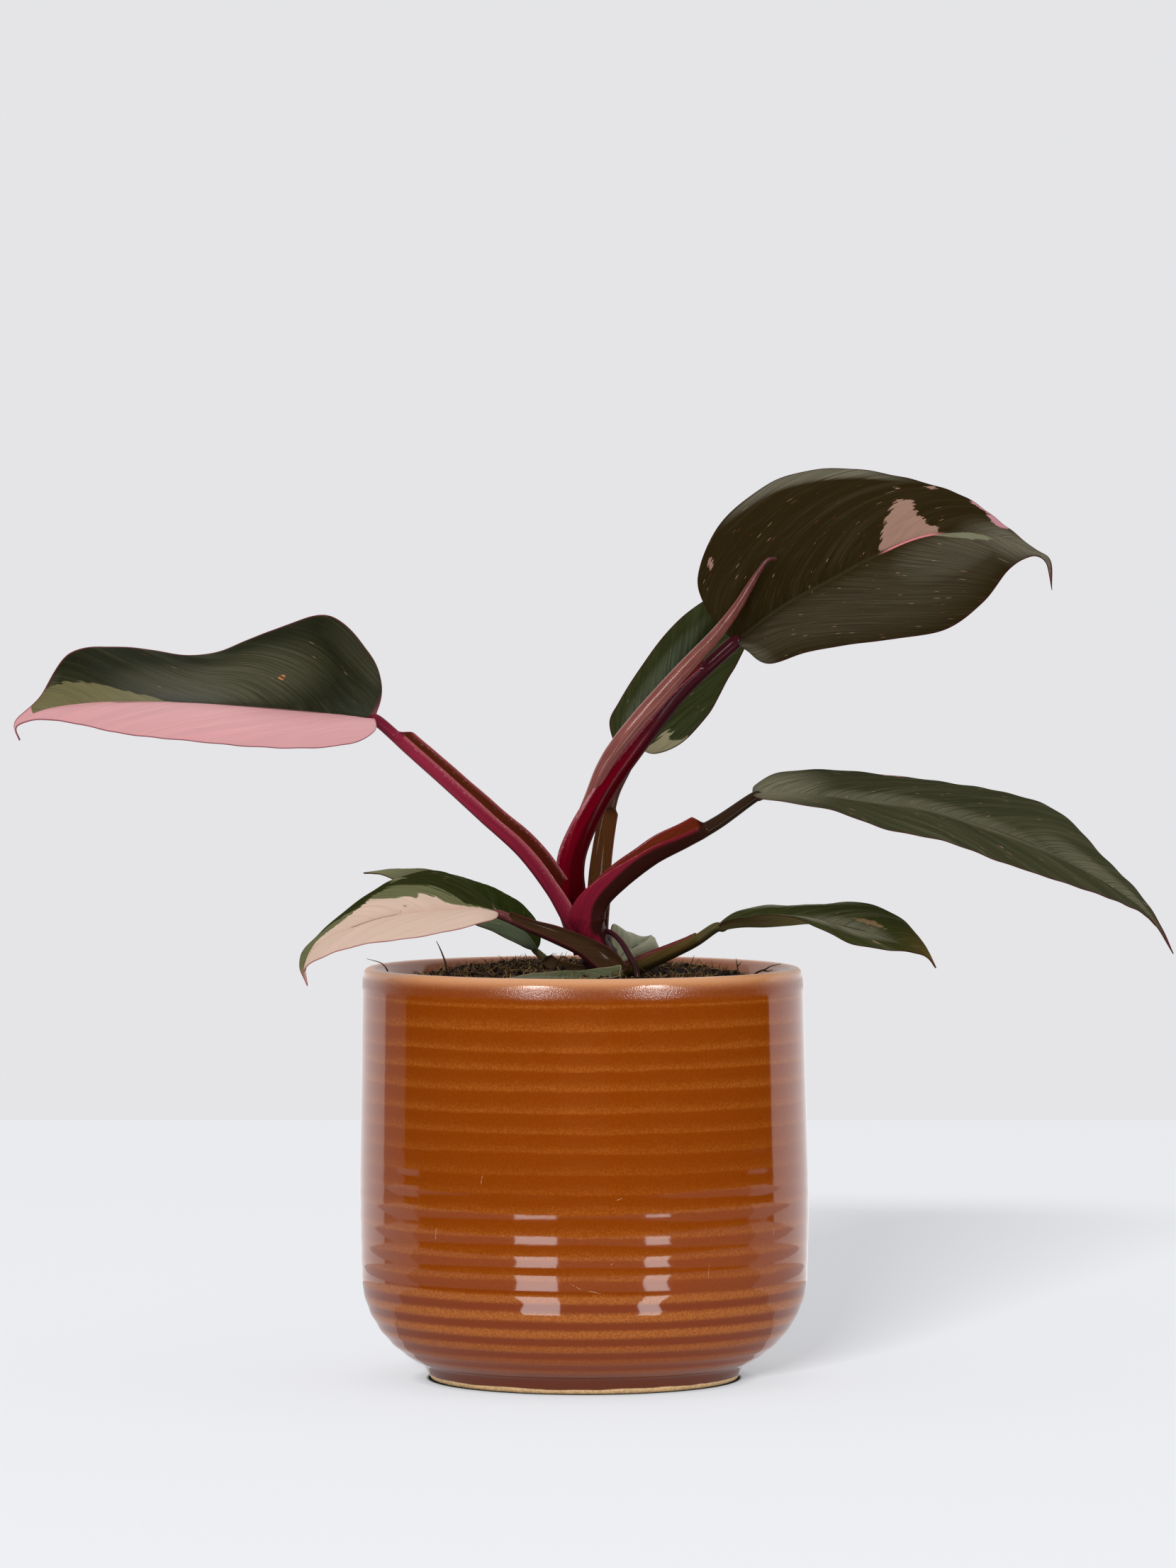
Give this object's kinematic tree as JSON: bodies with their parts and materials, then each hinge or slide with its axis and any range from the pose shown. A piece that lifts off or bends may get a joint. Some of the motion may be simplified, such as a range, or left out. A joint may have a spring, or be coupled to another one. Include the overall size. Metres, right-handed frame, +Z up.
{
  "type": "potted philodendron",
  "caption": "Variegated philodendron with long leaves on arching sheathed stalks, planted in soil in a round ribbed ceramic pot with a rounded shoulder.",
  "frame": {"origin": "on the pot's axis, at its flat underside", "axes": "+Z up; the picture's camera looks along +Y, so -Y is the front, and +X is the picture's right"},
  "size_m": [0.3622, 0.1405, 0.2878],
  "materials": {
    "glaze": "gloss",
    "soil": "matte",
    "stem": "matte",
    "leaf_green": "satin",
    "leaf_pink": "satin",
    "leaf_pale": "satin",
    "stalk_crimson": "satin",
    "stalk_brown": "satin",
    "rolled_leaf": "satin",
    "root": "satin"
  },
  "bodies": {
    "root": {"leaf_1_blade": "leaf_pink", "leaf_1_stalk": "stalk_crimson", "leaf_2_blade": "leaf_green", "leaf_2_stalk": "stalk_crimson", "leaf_3_blade": "leaf_green", "leaf_3_stalk": "stalk_brown", "leaf_4_blade": "leaf_green", "leaf_4_stalk": "stalk_crimson", "leaf_5_blade": "leaf_pale", "leaf_5_stalk": "stalk_brown", "leaf_6_blade": "leaf_green", "leaf_6_stalk": "stalk_brown", "leaf_7_blade": "leaf_green", "leaf_7_stalk": "stalk_brown", "leaf_8_blade": "leaf_pale", "leaf_8_stalk": "stalk_brown", "leaf_9_blade": "leaf_pale", "leaf_9_stalk": "stalk_brown", "stem": "stem", "new_leaf": "rolled_leaf", "aerial_root": "root", "soil": "soil", "pot": "glaze"}
  },
  "joints": []
}
